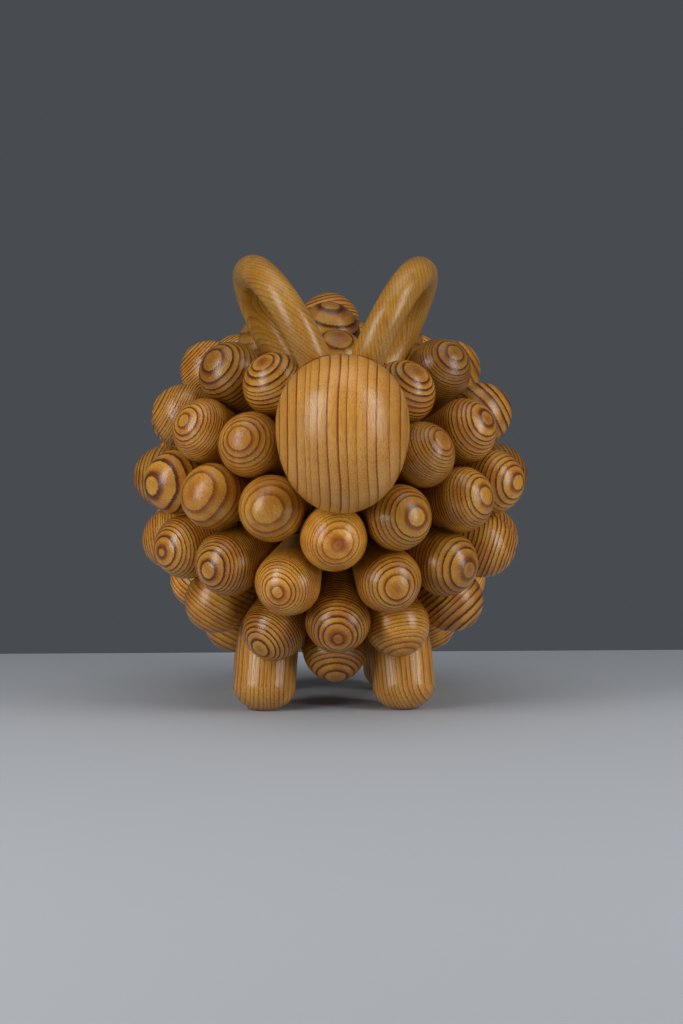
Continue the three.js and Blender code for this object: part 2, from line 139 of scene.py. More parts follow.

# Growth rings of the pegs that face the front: how the layers tilt from the peg's axis
# (degrees towards +X and up), the width of a ring, the radius of the first ring round the tip
# (mm), how strongly the late wood shows, and how much its middle eyes orange.
KNOB_GRAIN = {
    "top_knob_1": (6, -12, 3.8, 4.3, 0.85, 0.3),
    "crown_knob_1": (0, 10, 4.1, 6.0, 0.30, 0.0),
    "crown_knob_2": (4, 0, 1.9, 6.0, 0.70, 0.3),
    "crown_knob_3": (0, 10, 4.8, 5.0, 0.30, 0.0),
    "nape_knob_1": (12, -18, 2.0, 4.5, 0.75, 0.4),
    "nape_knob_2": (-9, 10, 1.8, 5.0, 0.90, 0.9),
    "nape_knob_3": (6, 9, 1.8, 5.5, 0.90, 0.4),
    "nape_knob_4": (-22, -9, 1.2, 3.5, 0.75, 0.6),
    "collar_knob_1": (-10, 5, 1.3, 4.0, 0.60, 0.0),
    "collar_knob_2": (11, -1, 1.2, 2.5, 0.70, 0.3),
    "collar_knob_3": (8, -3, 1.6, 5.0, 0.45, 0.0),
    "collar_knob_4": (15, 19, 1.1, 4.3, 0.55, 0.0),
    "collar_knob_5": (-8, 4, 1.6, 3.0, 0.95, 0.7),
    "collar_knob_6": (18, 12, 3.4, 4.0, 0.85, 0.0),
    "middle_knob_1": (-16, 0, 2.0, 5.0, 0.80, 0.0),
    "middle_knob_2": (18, -8, 3.4, 4.0, 0.90, 0.0),
    "middle_knob_3": (10, 13, 3.7, 7.0, 0.40, 0.0),
    "middle_knob_4": (12, 5, 2.9, 5.5, 0.28, 0.0),
    "middle_knob_5": (12, 12, 2.0, 3.5, 0.60, 0.0),
    "middle_knob_6": (2, 12, 1.5, 3.5, 0.60, 0.0),
    "middle_knob_7": (-19, -3, 1.8, 3.0, 0.65, 0.0),
    "middle_knob_8": (16, 0, 1.8, 4.0, 0.70, 0.0),
    "breast_knob_1": (8, 7, 1.2, 6.5, 0.35, 1.0),
    "flank_knob_1": (-12, 6, 1.4, 4.0, 0.65, 0.0),
    "flank_knob_2": (19, 12, 1.3, 1.5, 0.80, 0.0),
    "flank_knob_3": (5, 16, 1.3, 3.0, 0.95, 0.0),
    "flank_knob_4": (-2, 21, 1.0, 2.0, 0.65, 0.0),
    "flank_knob_5": (-7, 22, 1.4, 4.5, 0.65, 0.5),
    "flank_knob_6": (-1, 18, 1.9, 1.8, 0.65, 0.8),
    "flank_knob_7": (22, 4, 1.9, 4.0, 0.85, 0.0),
    "flank_knob_8": (14, -6, 2.2, 4.0, 0.85, 0.0),
    "belly_knob_1": (-16, -12, 2.7, 5.0, 0.75, 0.0),
    "belly_knob_2": (-26, -20, 2.2, 5.0, 0.40, 0.0),
    "belly_knob_3": (1, 21, 1.2, 3.4, 1.00, 0.4),
    "belly_knob_4": (-3, 22, 1.5, 6.0, 0.90, 0.5),
    "belly_knob_5": (-9, -14, 1.6, 5.0, 0.42, 0.0),
    "belly_knob_6": (14, -6, 2.7, 4.5, 1.00, 0.0),
    "belly_knob_7": (20, -10, 1.8, 4.0, 0.35, 0.0),
    "under_knob_1": (-8, -8, 2.4, 5.0, 0.35, 0.0),
    "under_knob_2": (0, 14, 1.6, 4.0, 0.80, 0.5),
    "under_knob_3": (12, -10, 2.0, 5.0, 0.55, 0.0),
}

# How light a front peg is beside the plain colours: its own tone, and painted light and shade
KNOB_TONE_AND_LIGHT = {
    "top_knob_1": 0.70, "crown_knob_1": 0.5, "crown_knob_2": 0.72, "crown_knob_3": 0.5,
    "nape_knob_1": 0.54, "nape_knob_2": 0.85, "nape_knob_3": 0.80, "nape_knob_4": 0.52,
    "collar_knob_3": 0.84, "collar_knob_4": 0.66,
    "middle_knob_1": 0.69, "middle_knob_4": 0.82, "middle_knob_5": 0.74, "middle_knob_8": 0.47,
    "breast_knob_1": 1.06, "flank_knob_3": 0.78, "flank_knob_4": 0.98, "flank_knob_5": 0.82,
    "flank_knob_6": 0.74, "belly_knob_1": 1.4, "belly_knob_4": 0.78, "belly_knob_7": 1.35,
    "under_knob_2": 0.70,
}

# Dark lines across the face of the head: mm to the right of its middle. Beyond the outer
# two, lines follow inwards to the pith and outwards at the given spacings.
HEAD_LINES = (-27, -24.3, -21, -18, -16.3, -13, -8.9, -4.4, -1.2, 2.8, 7.6, 11.7, 17.5, 22.8, 26.1)
HEAD_INNER_RING, HEAD_OUTER_RING, HEAD_MORE_RINGS = 3.2, 3.6, 8

# Stage: half the width of the table, its front edge and thickness, in metres
TABLE_HALF, TABLE_FRONT, TABLE_THICK = 1.6, -1.8, 0.03

# Lamps round a point before the ram: name, angle round the ram from the front and angle up
# (degrees), distance and size (metres), and share of the window light's power
LIT_POINT = (0.0, -0.05, 0.10)
LAMPS = (
    ("left_window", -50, 20, 0.9, (0.26, 0.80), 1.1),
    ("right_window", 54, 20, 0.9, (0.22, 0.80), 0.95),
    ("ceiling", 0, 78, 1.1, (0.9, 0.9), 0.6),
)

# Camera: where it stands (metres), which way it looks, and its focal length (mm)
CAMERA_PLACE = (-0.04455, -0.9362, 0.129)
CAMERA_AIM = (0.0523, 0.9978, -0.0412)
CAMERA_LENS = 70


class RamSizes(bpy.types.PropertyGroup):
    """Sizes of the turned pieces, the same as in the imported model."""

    height: bpy.props.FloatProperty(
        name="Ball height", description="Middle of the ball above the table",
        default=0.102, unit="LENGTH")
    ball: bpy.props.FloatProperty(
        name="Ball radius", description="Radius of the ball that the pegs stand on",
        default=0.055, unit="LENGTH")
    stretch: bpy.props.FloatProperty(
        name="Ball stretch", description="How far each end of the ball is drawn out",
        default=0.014, unit="LENGTH")
    reach: bpy.props.FloatProperty(
        name="Peg reach", description="Middle of the ball to the tip of a peg",
        default=0.094, unit="LENGTH")
    belly: bpy.props.FloatProperty(
        name="Peg belly", description="Ball to the widest place of a peg",
        default=0.024, unit="LENGTH")
    girth: bpy.props.FloatProperty(
        name="Peg radius", description="Radius of a peg at its widest place",
        default=0.0149, unit="LENGTH")
    neck_share: bpy.props.FloatProperty(
        name="Peg neck", description="Width of a peg at the ball, as a share of its widest place",
        default=0.67, min=0.3, max=1.0, subtype="FACTOR")
    tenon: bpy.props.FloatProperty(
        name="Peg tenon", description="Diameter of the tenon of a peg",
        default=0.008, unit="LENGTH")
    head: bpy.props.FloatProperty(
        name="Head", description="Diameter of the head", default=0.0568, unit="LENGTH")
    crown: bpy.props.FloatProperty(
        name="Crown", description="Widest place of the head up to its crown",
        default=0.030, unit="LENGTH")
    chin: bpy.props.FloatProperty(
        name="Chin", description="Widest place of the head down to its chin",
        default=0.0373, unit="LENGTH")
    tuck: bpy.props.FloatProperty(
        name="Head tuck", description="How deep the head sits in the wool",
        default=0.0285, unit="LENGTH")
    lift: bpy.props.FloatProperty(
        name="Head lift", description="Widest place of the head above the middle of the ball",
        default=0.029, unit="LENGTH")
    horn: bpy.props.FloatProperty(
        name="Horn rod", description="Diameter of the rod of a horn", default=0.0146, unit="LENGTH")
    leg: bpy.props.FloatProperty(
        name="Leg", description="Diameter of a leg", default=0.0288, unit="LENGTH")


class RamFinish(bpy.types.PropertyGroup):
    """Colours and gloss of the lacquered pine."""

    early_wood: bpy.props.StringProperty(
        name="Early wood", description="Pale wood between the lines, as sRGB hex", default="D2983A")
    warm_wood: bpy.props.StringProperty(
        name="Warm wood", description="Honey colour that leads up to a line, as sRGB hex",
        default="A4580F")
    late_wood: bpy.props.StringProperty(
        name="Late wood", description="Dark line of late wood, as sRGB hex", default="582B08")
    horn_wood: bpy.props.StringProperty(
        name="Horn wood", description="Paler, closer wood of the horns, as sRGB hex",
        default="BC8C38")
    gloss: bpy.props.FloatProperty(
        name="Lacquer roughness", description="Roughness of the clear lacquer",
        default=0.22, min=0.0, max=1.0, subtype="FACTOR")


class RamStage(bpy.types.PropertyGroup):
    """The table, the backdrop and the light."""

    table: bpy.props.StringProperty(
        name="Table", description="Colour of the table, as sRGB hex", default="AEB3BA")
    backdrop: bpy.props.StringProperty(
        name="Backdrop", description="Colour behind the table, as sRGB hex", default="484C50")
    table_edge: bpy.props.FloatProperty(
        name="Table edge", description="Far edge of the table behind the ram",
        default=0.216, unit="LENGTH")
    key: bpy.props.FloatProperty(
        name="Window light", description="Power of each tall soft light in front",
        default=5.4, unit="POWER")


# --- shapes ---------------------------------------------------------------------------------------

def unit(vector):
    """A vector, or rows of vectors, drawn out to length one."""
    return vector / np.linalg.norm(vector, axis=-1, keepdims=True)


def sizes():
    """The sizes in millimetres, by name."""
    group = bpy.context.scene.ram_sizes
    names = ("height", "ball", "stretch", "reach", "belly", "girth", "tenon", "head", "crown",
             "chin", "tuck", "lift", "horn", "leg")
    found = {name: getattr(group, name) / MM for name in names}
    found["neck_share"] = group.neck_share
    return found


def middle_of_ball():
    """The middle of the ball: under the middle of the head across, and as far behind the face as
    the head's tuck and the wool's reach say."""
    low, high = (np.array(corner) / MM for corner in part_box("head"))
    s = sizes()
    behind = s["reach"] + s["stretch"] - s["tuck"] + s["head"]
    return np.array([(low[0] + high[0]) / 2, low[1] + behind, s["height"]])


def peg_start(aim):
    """Where the axis of a peg with this direction starts, from the middle of the ball."""
    s = sizes()
    start = np.zeros_like(aim)
    start[..., 1] = s["stretch"] * np.clip(START_SLOPE * aim[..., 1], -1, 1)
    return start


def peg_axes(node):
    """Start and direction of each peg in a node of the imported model. A tip is a corner that lies
    farthest from where the axis through it starts, and the start depends on the direction, so
    each is found from the other in turn. A peg that is sunk starts as much lower on its axis as
    its tip falls short of the full reach."""
    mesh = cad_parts[node].data
    corners = np.empty(len(mesh.vertices) * 3)
    mesh.vertices.foreach_get("co", corners)
    corners = np.unique(np.round(corners.reshape(-1, 3) / MM, 3), axis=0)
    tips = corners - middle_of_ball()
    aim = unit(tips)
    for _ in range(AIM_ROUNDS):
        aim = unit(tips - peg_start(aim))
    far = np.linalg.norm(tips - peg_start(aim), axis=1)
    sunk = sizes()["reach"] - far.max()
    if not -0.1 < sunk < MOST_SUNK:
        raise RuntimeError(f"no peg tip found in {node}")
    found = far > far.max() - TIP_BAND
    starts = peg_start(aim[found]) - sunk * aim[found] + middle_of_ball()
    return list(zip(starts, aim[found]))


def peg_radius(height):
    """Radius of a peg at a height above the start of its axis: the lesser of a cone that widens
    from the neck and a superellipse dome, rounded where they meet by a sum of high powers."""
    s = sizes()
    belly = s["ball"] + s["belly"]
    neck = s["girth"] * s["neck_share"]
    cone = neck + (s["girth"] - neck) * (height - s["ball"]) / s["belly"]
    over = np.clip((height - belly) / (s["reach"] - belly), 0, 1)
    dome = np.maximum(s["girth"] * (1 - over ** DOME_POWER) ** (1 / DOME_POWER), 1e-6)
    power = float(BELLY_POWER)
    return (cone ** -power + dome ** -power) ** (-1 / power)


def cross_frame(aim):
    """Two directions across an axis: one level and one as upright as it can be."""
    level = unit(np.cross([0.0, 0.0, 1.0], aim))
    return level, np.cross(aim, level)


def lathe(profile, start, aim, sides):
    """Rings of a turned surface: each point is start + height along aim + radius round it.
    The profile is rows of (radius, height), and its first and last rows are the poles."""
    level, upright = cross_frame(aim)
    angle = np.arange(sides) * 2 * math.pi / sides
    around = np.cos(angle)[:, None] * level + np.sin(angle)[:, None] * upright
    inner = profile[1:-1]
    rings = start + inner[:, 1, None, None] * aim + inner[:, 0, None, None] * around
    return rings, start + profile[0, 1] * aim, start + profile[-1, 1] * aim


def put_mesh(name, shells, growth, timber, eye=None):
    """A mesh object from closed shells. Each shell is (rings, first pole, last pole), with quads
    between rings and a fan at each pole. growth, timber and eye are point attributes for the
    wood: growth holds rings counted, strength of the lines and tone, timber the place in the
    timber in mm, and eye how orange a place is and how far its rings stray, then a spare 0."""
    points, faces3, faces4, count = [], [], [], 0
    for rings, first, last in shells:
        here = np.arange(rings.shape[0] * rings.shape[1]).reshape(rings.shape[:2]) + count
        beside = np.roll(here, -1, axis=1)
        faces4.append(np.stack([here[:-1], beside[:-1], beside[1:], here[1:]], -1).reshape(-1, 4))
        poles = (count + here.size, count + here.size + 1)
        low = np.full(rings.shape[1], poles[0])
        high = np.full(rings.shape[1], poles[1])
        faces3.append(np.stack([low, beside[0], here[0]], -1))
        faces3.append(np.stack([high, here[-1], beside[-1]], -1))
        points += [rings.reshape(-1, 3), first[None], last[None]]
        count = poles[1] + 1
    points = np.vstack(points)
    quads, fans = np.vstack(faces4), np.vstack(faces3)
    corners = np.concatenate([quads.ravel(), fans.ravel()])
    starts = np.concatenate([np.arange(len(quads)) * 4, quads.size + np.arange(len(fans)) * 3])
    mesh = bpy.data.meshes.new(name)
    mesh.vertices.add(len(points))
    mesh.vertices.foreach_set("co", (points * MM).ravel())
    mesh.loops.add(len(corners))
    mesh.loops.foreach_set("vertex_index", corners.astype(np.int32))
    mesh.polygons.add(len(starts))
    mesh.polygons.foreach_set("loop_start", starts.astype(np.int32))
    mesh.update(calc_edges=True)
    mesh.validate()
    mesh.shade_smooth()
    mesh.set_sharp_from_angle(angle=math.radians(SHARP_ANGLE))
    if eye is None:
        eye = np.tile([0.0, 1.0, 0.0], (len(points), 1))
    for key, values in (("growth", growth), ("timber", timber), ("eye", eye)):
        layer = mesh.attributes.new(key, "FLOAT_VECTOR", "POINT")
        layer.data.foreach_set("vector", values.astype(np.float32).ravel())
    piece = bpy.data.objects.new(name, mesh)
    bpy.context.scene.collection.objects.link(piece)
    return piece


def shell_points(shell):
    """All points of a shell in the order in which put_mesh writes them."""
    rings, first, last = shell
    return np.vstack([rings.reshape(-1, 3), first[None], last[None]])


def finish_piece(piece, nodes, material):
    """The piece stands for these nodes, moves with the ram and takes its finish."""
    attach(piece, "root")
    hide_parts(*nodes)
    piece.data.materials.clear()
    piece.data.materials.append(material)


def all_pegs():
    """Every peg of the ram as (start, aim)."""
    return [peg for node in sorted(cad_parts) if "knob" in node for peg in peg_axes(node)]


def clear_of_pegs(inside, outside, pegs):
    """Draws each outside point back towards its inside point until it stands clear of every peg:
    the first step of the way that lies in a peg is found, then halved."""
    s = sizes()

    def in_a_peg(points):
        found = np.zeros(points.shape[:-1], bool)
        for start, aim in pegs:
            off = points - start
            height = off @ aim
            near = (height > s["ball"] - CLEARANCE) & (height < s["reach"] + CLEARANCE)
            off = off[near]
            above = height[near]
            wide = np.sqrt(np.maximum((off * off).sum(-1) - above ** 2, 0))
            skin = peg_radius(np.clip(above, s["ball"], s["reach"]))
            found[near] |= wide < skin + CLEARANCE
        return found

    steps = np.linspace(0, 1, WAY_STEPS + 1)
    way = outside - inside
    hits = in_a_peg(inside[..., None, :] + steps[:, None] * way[..., None, :])
    first = np.where(hits.any(-1), hits.argmax(-1), len(steps))
    high = np.minimum(first / WAY_STEPS, 1.0)
    low = np.maximum(high - 1 / WAY_STEPS, 0.0)
    hit = first < len(steps)
    for _ in range(WAY_HALVINGS):
        centre = (low + high) / 2
        touching = in_a_peg(inside + centre[..., None] * way)
        low = np.where(touching, low, centre)
        high = np.where(touching, centre, high)
    share = np.where(hit, low, 1.0)
    return inside + share[..., None] * way


# --- growth rings ---------------------------------------------------------------------------------

def ring_count(depth, width, first, seed):
    """Rings counted along the depth of the wood. Widths vary round the given width by a third,
    and a ring ends where depth equals first."""
    rng = np.random.default_rng(seed)
    widths = width * rng.uniform(1 - RING_SPREAD, 1 + RING_SPREAD, RING_COUNT)
    edges = np.cumsum(widths)
    edges += first - edges[RING_COUNT // 2]
    return np.interp(depth, edges, np.arange(len(edges), dtype=float))


def growth_of(rings, strength, tone):
    """The growth attribute: rings counted, and the same strength of line and tone all over."""
    return np.stack([rings, np.full_like(rings, strength), np.full_like(rings, tone)], -1)


def timber_of(points, origin, layers, fibre, pith):
    """Place of each point in the timber: along the fibres, across them, and out from the pith.
    The layers are cylinders round a pith that lies the given way below origin, so depth is the
    distance from the pith less its distance from origin."""
    fibre = unit(fibre - (fibre @ layers) * layers)
    across = np.cross(layers, fibre)
    off = points - origin
    side = off @ across
    depth = off @ layers
    depth = np.sqrt((depth + pith) ** 2 + side ** 2) - pith
    return np.stack([off @ fibre, side, depth], -1)


def peg_wood(shell, start, aim, grain, seed):
    """Growth, timber and eye attributes of a peg. Its layers lie across its axis, tilted a little,
    so that the rings close round a point near the tip, which they run round smoothly. Every peg
    comes from another place in the timber."""
    tilt_side, tilt_up, width, first_ring, strength, blush, tone = grain
    rng = np.random.default_rng(seed)
    s = sizes()
    level, upright = cross_frame(aim)
    layers = unit(aim + math.tan(math.radians(tilt_side)) * level
                  + math.tan(math.radians(tilt_up)) * upright)
    turn = rng.uniform(0, math.pi)
    fibre = math.cos(turn) * level + math.sin(turn) * upright
    belly = s["ball"] + s["belly"]
    dome = s["reach"] - belly
    points = shell_points(shell)
    timber = timber_of(points, start + belly * aim, layers, fibre, rng.uniform(*PEG_PITH))
    top = timber[:, 2].max()
    first = top - dome / DOME_POWER * (first_ring / s["girth"]) ** DOME_POWER
    rings = ring_count(timber[:, 2], width, first, seed + 1)
    growth = growth_of(rings, strength, tone)
    from_eye = np.linalg.norm(points - points[timber[:, 2].argmax()], axis=1)
    eye = np.stack([blush * np.exp(-(from_eye / EYE_RADIUS) ** 2),
                    np.clip(from_eye / STEADY_RADIUS, LEAST_STRAY, 1),
                    np.zeros_like(from_eye)], -1)
    return growth, timber + rng.uniform(-TIMBER_REACH, TIMBER_REACH, 3), eye


# --- materials ------------------------------------------------------------------------------------

def linear(hex_colour):
    """sRGB hex to linear red, green, blue and alpha 1."""
    channels = [int(hex_colour[i:i + 2], 16) / 255 for i in (0, 2, 4)]
    return [c / 12.92 if c <= 0.04045 else ((c + 0.055) / 1.055) ** 2.4 for c in channels] + [1.0]


def add_node(tree, kind, settings=None, inputs=None):
    """Adds a node to a tree and gives its outputs. settings are its properties by name; inputs
    are its sockets by name or number, each given a value or another node's output."""
    node = tree.nodes.new(kind)
    for key, value in (settings or {}).items():
        setattr(node, key, value)
    for key, value in (inputs or {}).items():
        if isinstance(value, bpy.types.NodeSocket):
            tree.links.new(value, node.inputs[key])
        else:
            node.inputs[key].default_value = value
    return node.outputs


# Noise over the timber: features per mm along the fibres, across them and out from the pith,
# then detail and roughness. Fibres and grit are under half a millimetre wide.
TIMBER_NOISE = {
    "wander": ((0.025, 0.07, 0.07), 0.0, 0.5),
    "fray": ((0.09, 2.2, 2.2), 2.0, 0.6),
    "fibre": ((0.10, 2.4, 2.4), 3.0, 0.62),
    "patch": ((0.03, 0.06, 0.06), 2.0, 0.5),
    "duct": ((0.5, 2.6, 2.6), 0.0, 0.5),
    "cloud": ((0.04, 0.11, 0.11), 2.0, 0.5),
    "grit": ((1.0, 2.0, 2.0), 2.0, 0.65),
    "sheen": ((0.2, 0.6, 0.6), 2.0, 0.5),
}

# How the wood is worked out, in order: a result's name, the sum, and its terms, where a name is an
# earlier result. A ring's part runs from 0 to 1 outwards, and lot is a chance number for each ring.
# The late wood is the last part of a ring: it comes on softly and ends sharply. Fibres fray it,
# and sanding leaves it a little proud.
WOOD_SUMS = (
    ("bend", "MULTIPLY_ADD", "wander", 0.7, -0.35),
    ("stray", "MULTIPLY_ADD", "fray", 0.36, -0.18),
    ("stray", "ADD", "stray", "bend"),
    ("count", "MULTIPLY_ADD", "stray", "away", "rings"),
    ("part", "FRACT", "count"),
    ("number", "FLOOR", "count"),
    ("lot", "MULTIPLY", "number", 78.233),
    ("lot", "SINE", "lot"),
    ("lot", "MULTIPLY", "lot", 43.758),
    ("lot", "FRACT", "lot"),
    ("onset", "MULTIPLY_ADD", "lot", 0.2, "onset_from"),
    ("line", "SMOOTHSTEP", "part", "onset", 0.9, 0.0, 1.0),
    ("end", "SMOOTHSTEP", "part", 0.94, 1.0, 1.0, 0.0),
    ("line", "MULTIPLY", "line", "end"),
    ("weight", "MULTIPLY_ADD", "lot", -0.7, 1.45),
    ("line", "MULTIPLY", "line", "weight"),
    ("body", "MULTIPLY_ADD", "patch", 0.8, -0.15),
    ("body", "MULTIPLY_ADD", "fibre", 1.8, "body"),
    ("line", "MULTIPLY", "line", "body"),
    ("line", "MULTIPLY", "line", "strength"),
    ("soft", "MULTIPLY_ADD", "away", 0.5, 0.5),
    ("line", "MULTIPLY", "line", "soft"),
    ("lead", "SMOOTHSTEP", "part", 0.25, 0.95, 0.0, 0.85),
    ("lead", "MULTIPLY", "lead", "end"),
    ("share", "MULTIPLY_ADD", "strength", 0.6, 0.4),
    ("lead", "MULTIPLY", "lead", "share"),
    ("warmth", "SMOOTHSTEP", "cloud", 0.38, 0.62, 0.0, 0.45),
    ("lead", "ADD", "lead", "warmth"),
    ("blush", "MULTIPLY", "blush", 0.8),
    ("streak", "SMOOTHSTEP", "fibre", 0.42, 0.74, 0.0, 0.45),
    ("duct", "SMOOTHSTEP", "duct", 0.74, 0.80, 0.0, 0.4),
    ("level", "MULTIPLY_ADD", "patch", 0.34, 0.83),
    ("speck", "MULTIPLY_ADD", "grit", 0.44, 0.78),
    ("level", "MULTIPLY", "level", "speck"),
    ("level", "MULTIPLY", "level", "tone"),
    ("ridge", "MULTIPLY", "line", 0.5),
    ("ridge", "MULTIPLY_ADD", "fibre", -0.7, "ridge"),
    ("ridge", "MULTIPLY_ADD", "grit", 1.5, "ridge"),
    ("rough", "SMOOTHSTEP", "sheen", 0.3, 0.7, "least_rough", "most_rough"),
)


def pine(name, early, warm, late, rough, onset_from=0.5, from_attributes=True, ring_width=3.0):
    """Pine under clear satin-gloss lacquer: pale early wood warms to honey and ends in a thin dark
    line of late wood, fine fibres run along it with short dark resin ducts, and the lacquer rounds
    off the small ridges that sanding leaves on the hard lines."""
    material = bpy.data.materials.new(name)
    material.use_nodes = True
    tree = material.node_tree
    tree.nodes.clear()
    value = {"onset_from": onset_from, "least_rough": rough - 0.04, "most_rough": rough + 0.06}
    if from_attributes:
        growth = add_node(tree, "ShaderNodeAttribute", {"attribute_name": "growth"})["Vector"]
        split = add_node(tree, "ShaderNodeSeparateXYZ", None, {0: growth})
        value["rings"], value["strength"], value["tone"] = split
        eye = add_node(tree, "ShaderNodeAttribute", {"attribute_name": "eye"})["Vector"]
        value["blush"], value["away"], _ = add_node(tree, "ShaderNodeSeparateXYZ", None, {0: eye})
        timber = add_node(tree, "ShaderNodeAttribute", {"attribute_name": "timber"})["Vector"]
    else:
        # A hidden piece has no attributes: its fibres run along Y, round the shared pith
        place = add_node(tree, "ShaderNodeTexCoord")["Object"]
        timber = add_node(tree, "ShaderNodeMapping", None,
                          {"Vector": place, "Rotation": (0.06, 0.04, math.pi / 2),
                           "Scale": (1 / MM, 1 / MM, 1 / MM)})[0]
        from_pith = add_node(tree, "ShaderNodeVectorMath", {"operation": "MULTIPLY_ADD"},
                             {0: timber, 1: (0, 1 / ring_width, 1 / ring_width),
                              2: (0, 0, -HIDDEN_PITH / ring_width)})[0]
        value["rings"] = add_node(tree, "ShaderNodeVectorMath", {"operation": "LENGTH"},
                                  {0: from_pith})["Value"]
        value.update(strength=0.6, tone=0.96, blush=0.0, away=1.0)
    for key, (scale, detail, coarse) in TIMBER_NOISE.items():
        at = add_node(tree, "ShaderNodeVectorMath", {"operation": "MULTIPLY"},
                      {0: timber, 1: scale})[0]
        value[key] = add_node(tree, "ShaderNodeTexNoise", {"noise_dimensions": "3D"},
                              {"Vector": at, "Scale": 1.0, "Detail": detail,
                               "Roughness": coarse})["Fac"]
    for key, operation, *terms in WOOD_SUMS:
        terms = [value[term] if isinstance(term, str) else term for term in terms]
        if operation == "SMOOTHSTEP":
            sockets = ("Value", "From Min", "From Max", "To Min", "To Max")
            value[key] = add_node(tree, "ShaderNodeMapRange", {"interpolation_type": operation},
                                  dict(zip(sockets, terms)))[0]
        else:
            value[key] = add_node(tree, "ShaderNodeMath", {"operation": operation},
                                  dict(enumerate(terms)))[0]
    wood = linear(early)
    for share, colour in (("lead", warm), ("blush", EYE_COLOUR), ("line", late), ("streak", late),
                          ("duct", late)):
        wood = add_node(tree, "ShaderNodeMix", {"data_type": "RGBA"},
                        {0: value[share], 6: wood, 7: linear(colour)})[2]
    wood = add_node(tree, "ShaderNodeHueSaturation", None,
                    {"Hue": 0.5, "Saturation": 1.0, "Value": value["level"], "Fac": 1.0,
                     "Color": wood})[0]
    bump = add_node(tree, "ShaderNodeBump", None,
                    {"Strength": 0.6, "Distance": 0.11 * MM, "Height": value["ridge"]})[0]
    shader = add_node(tree, "ShaderNodeBsdfPrincipled", None, {
        "Base Color": wood,
        "Roughness": value["rough"],
        "IOR": 1.5,
        "Specular IOR Level": 0.1,
        "Coat Weight": 0.75,
        "Coat Roughness": bpy.context.scene.ram_finish.gloss,
        "Coat IOR": 1.5,
        "Normal": bump,
        "Coat Normal": bump,
    })[0]
    add_node(tree, "ShaderNodeOutputMaterial", None, {"Surface": shader})
    return material


# --- operators ------------------------------------------------------------------------------------

def peg_shell(start, aim, trim):
    """Shell of one peg: tenon, shoulder, widening side and dome. trim, from 0 to 1, thins it by a
    hair, because no two turned pegs are alike."""
    s = sizes()
    belly = s["ball"] + s["belly"]
    tenon = s["tenon"] / 2
    foot = s["ball"] - TENON_LENGTH
    shoulder = s["ball"] + CLEARANCE
    side = np.linspace(shoulder, belly, PEG_SIDE_ROWS, endpoint=False)
    angle = np.linspace(0, math.pi / 2, PEG_DOME_ROWS + 1)[:-1]
    dome = belly + (s["reach"] - belly) * np.sin(angle) ** (2 / DOME_POWER)
    height = np.concatenate([side, dome])
    radius = peg_radius(height) * (1 - TRIM * trim)
    low = [[0, foot], [tenon - TENON_BEVEL, foot], [tenon, foot + TENON_BEVEL],
           [tenon, shoulder]]
    profile = np.vstack([low, np.stack([radius, height], -1), [[0, s["reach"] - TIP_FLAT]]])
    return lathe(profile, start, aim, PEG_SIDES)


class RAM_OT_pegs(bpy.types.Operator):
    """Turns the wool pegs, front ones as single pieces and back ones row by row"""

    bl_idname = "ram.pegs"
    bl_label = "Wool pegs"

    def execute(self, context):
        finish = context.scene.ram_finish
        # Pine turned across its layers: strong dark rings round the tip, warm honey between them
        wood = pine("lacquered_pine_peg", finish.early_wood, finish.warm_wood, finish.late_wood,
                    rough=0.38, onset_from=0.54)
        for order, node in enumerate(sorted(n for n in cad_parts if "knob" in n)):
            shells, growths, timbers, eyes = [], [], [], []
            for number, (start, aim) in enumerate(peg_axes(node)):
                seed = 100 * order + 7 * number + 11
                rng = np.random.default_rng(seed)
                # A peg that isn't in the table, one behind, gets the same values by chance
                grain = KNOB_GRAIN.get(node) or (
                    rng.uniform(-20, 20), rng.uniform(-15, 20),
                    rng.choice([1.2, 1.4, 1.8, 2.2, 3.2]), rng.uniform(2, 6),
                    rng.uniform(0.45, 1.0), rng.choice([0.0, 0.0, 0.6]))
                # A front peg's tone holds painted light and shade as well as the wood's own tone
                grain += (KNOB_TONE_AND_LIGHT.get(node, rng.uniform(0.72, 0.94)),)
                shell = peg_shell(start, aim, rng.uniform(0, 1))
                growth, timber, eye = peg_wood(shell, start, aim, grain, seed)
                shells.append(shell)
                growths.append(growth)
                timbers.append(timber)
                eyes.append(eye)
            piece = put_mesh(f"turned_{node}", shells, np.vstack(growths), np.vstack(timbers),
                             np.vstack(eyes))
            finish_piece(piece, [node], wood)
        return {"FINISHED"}


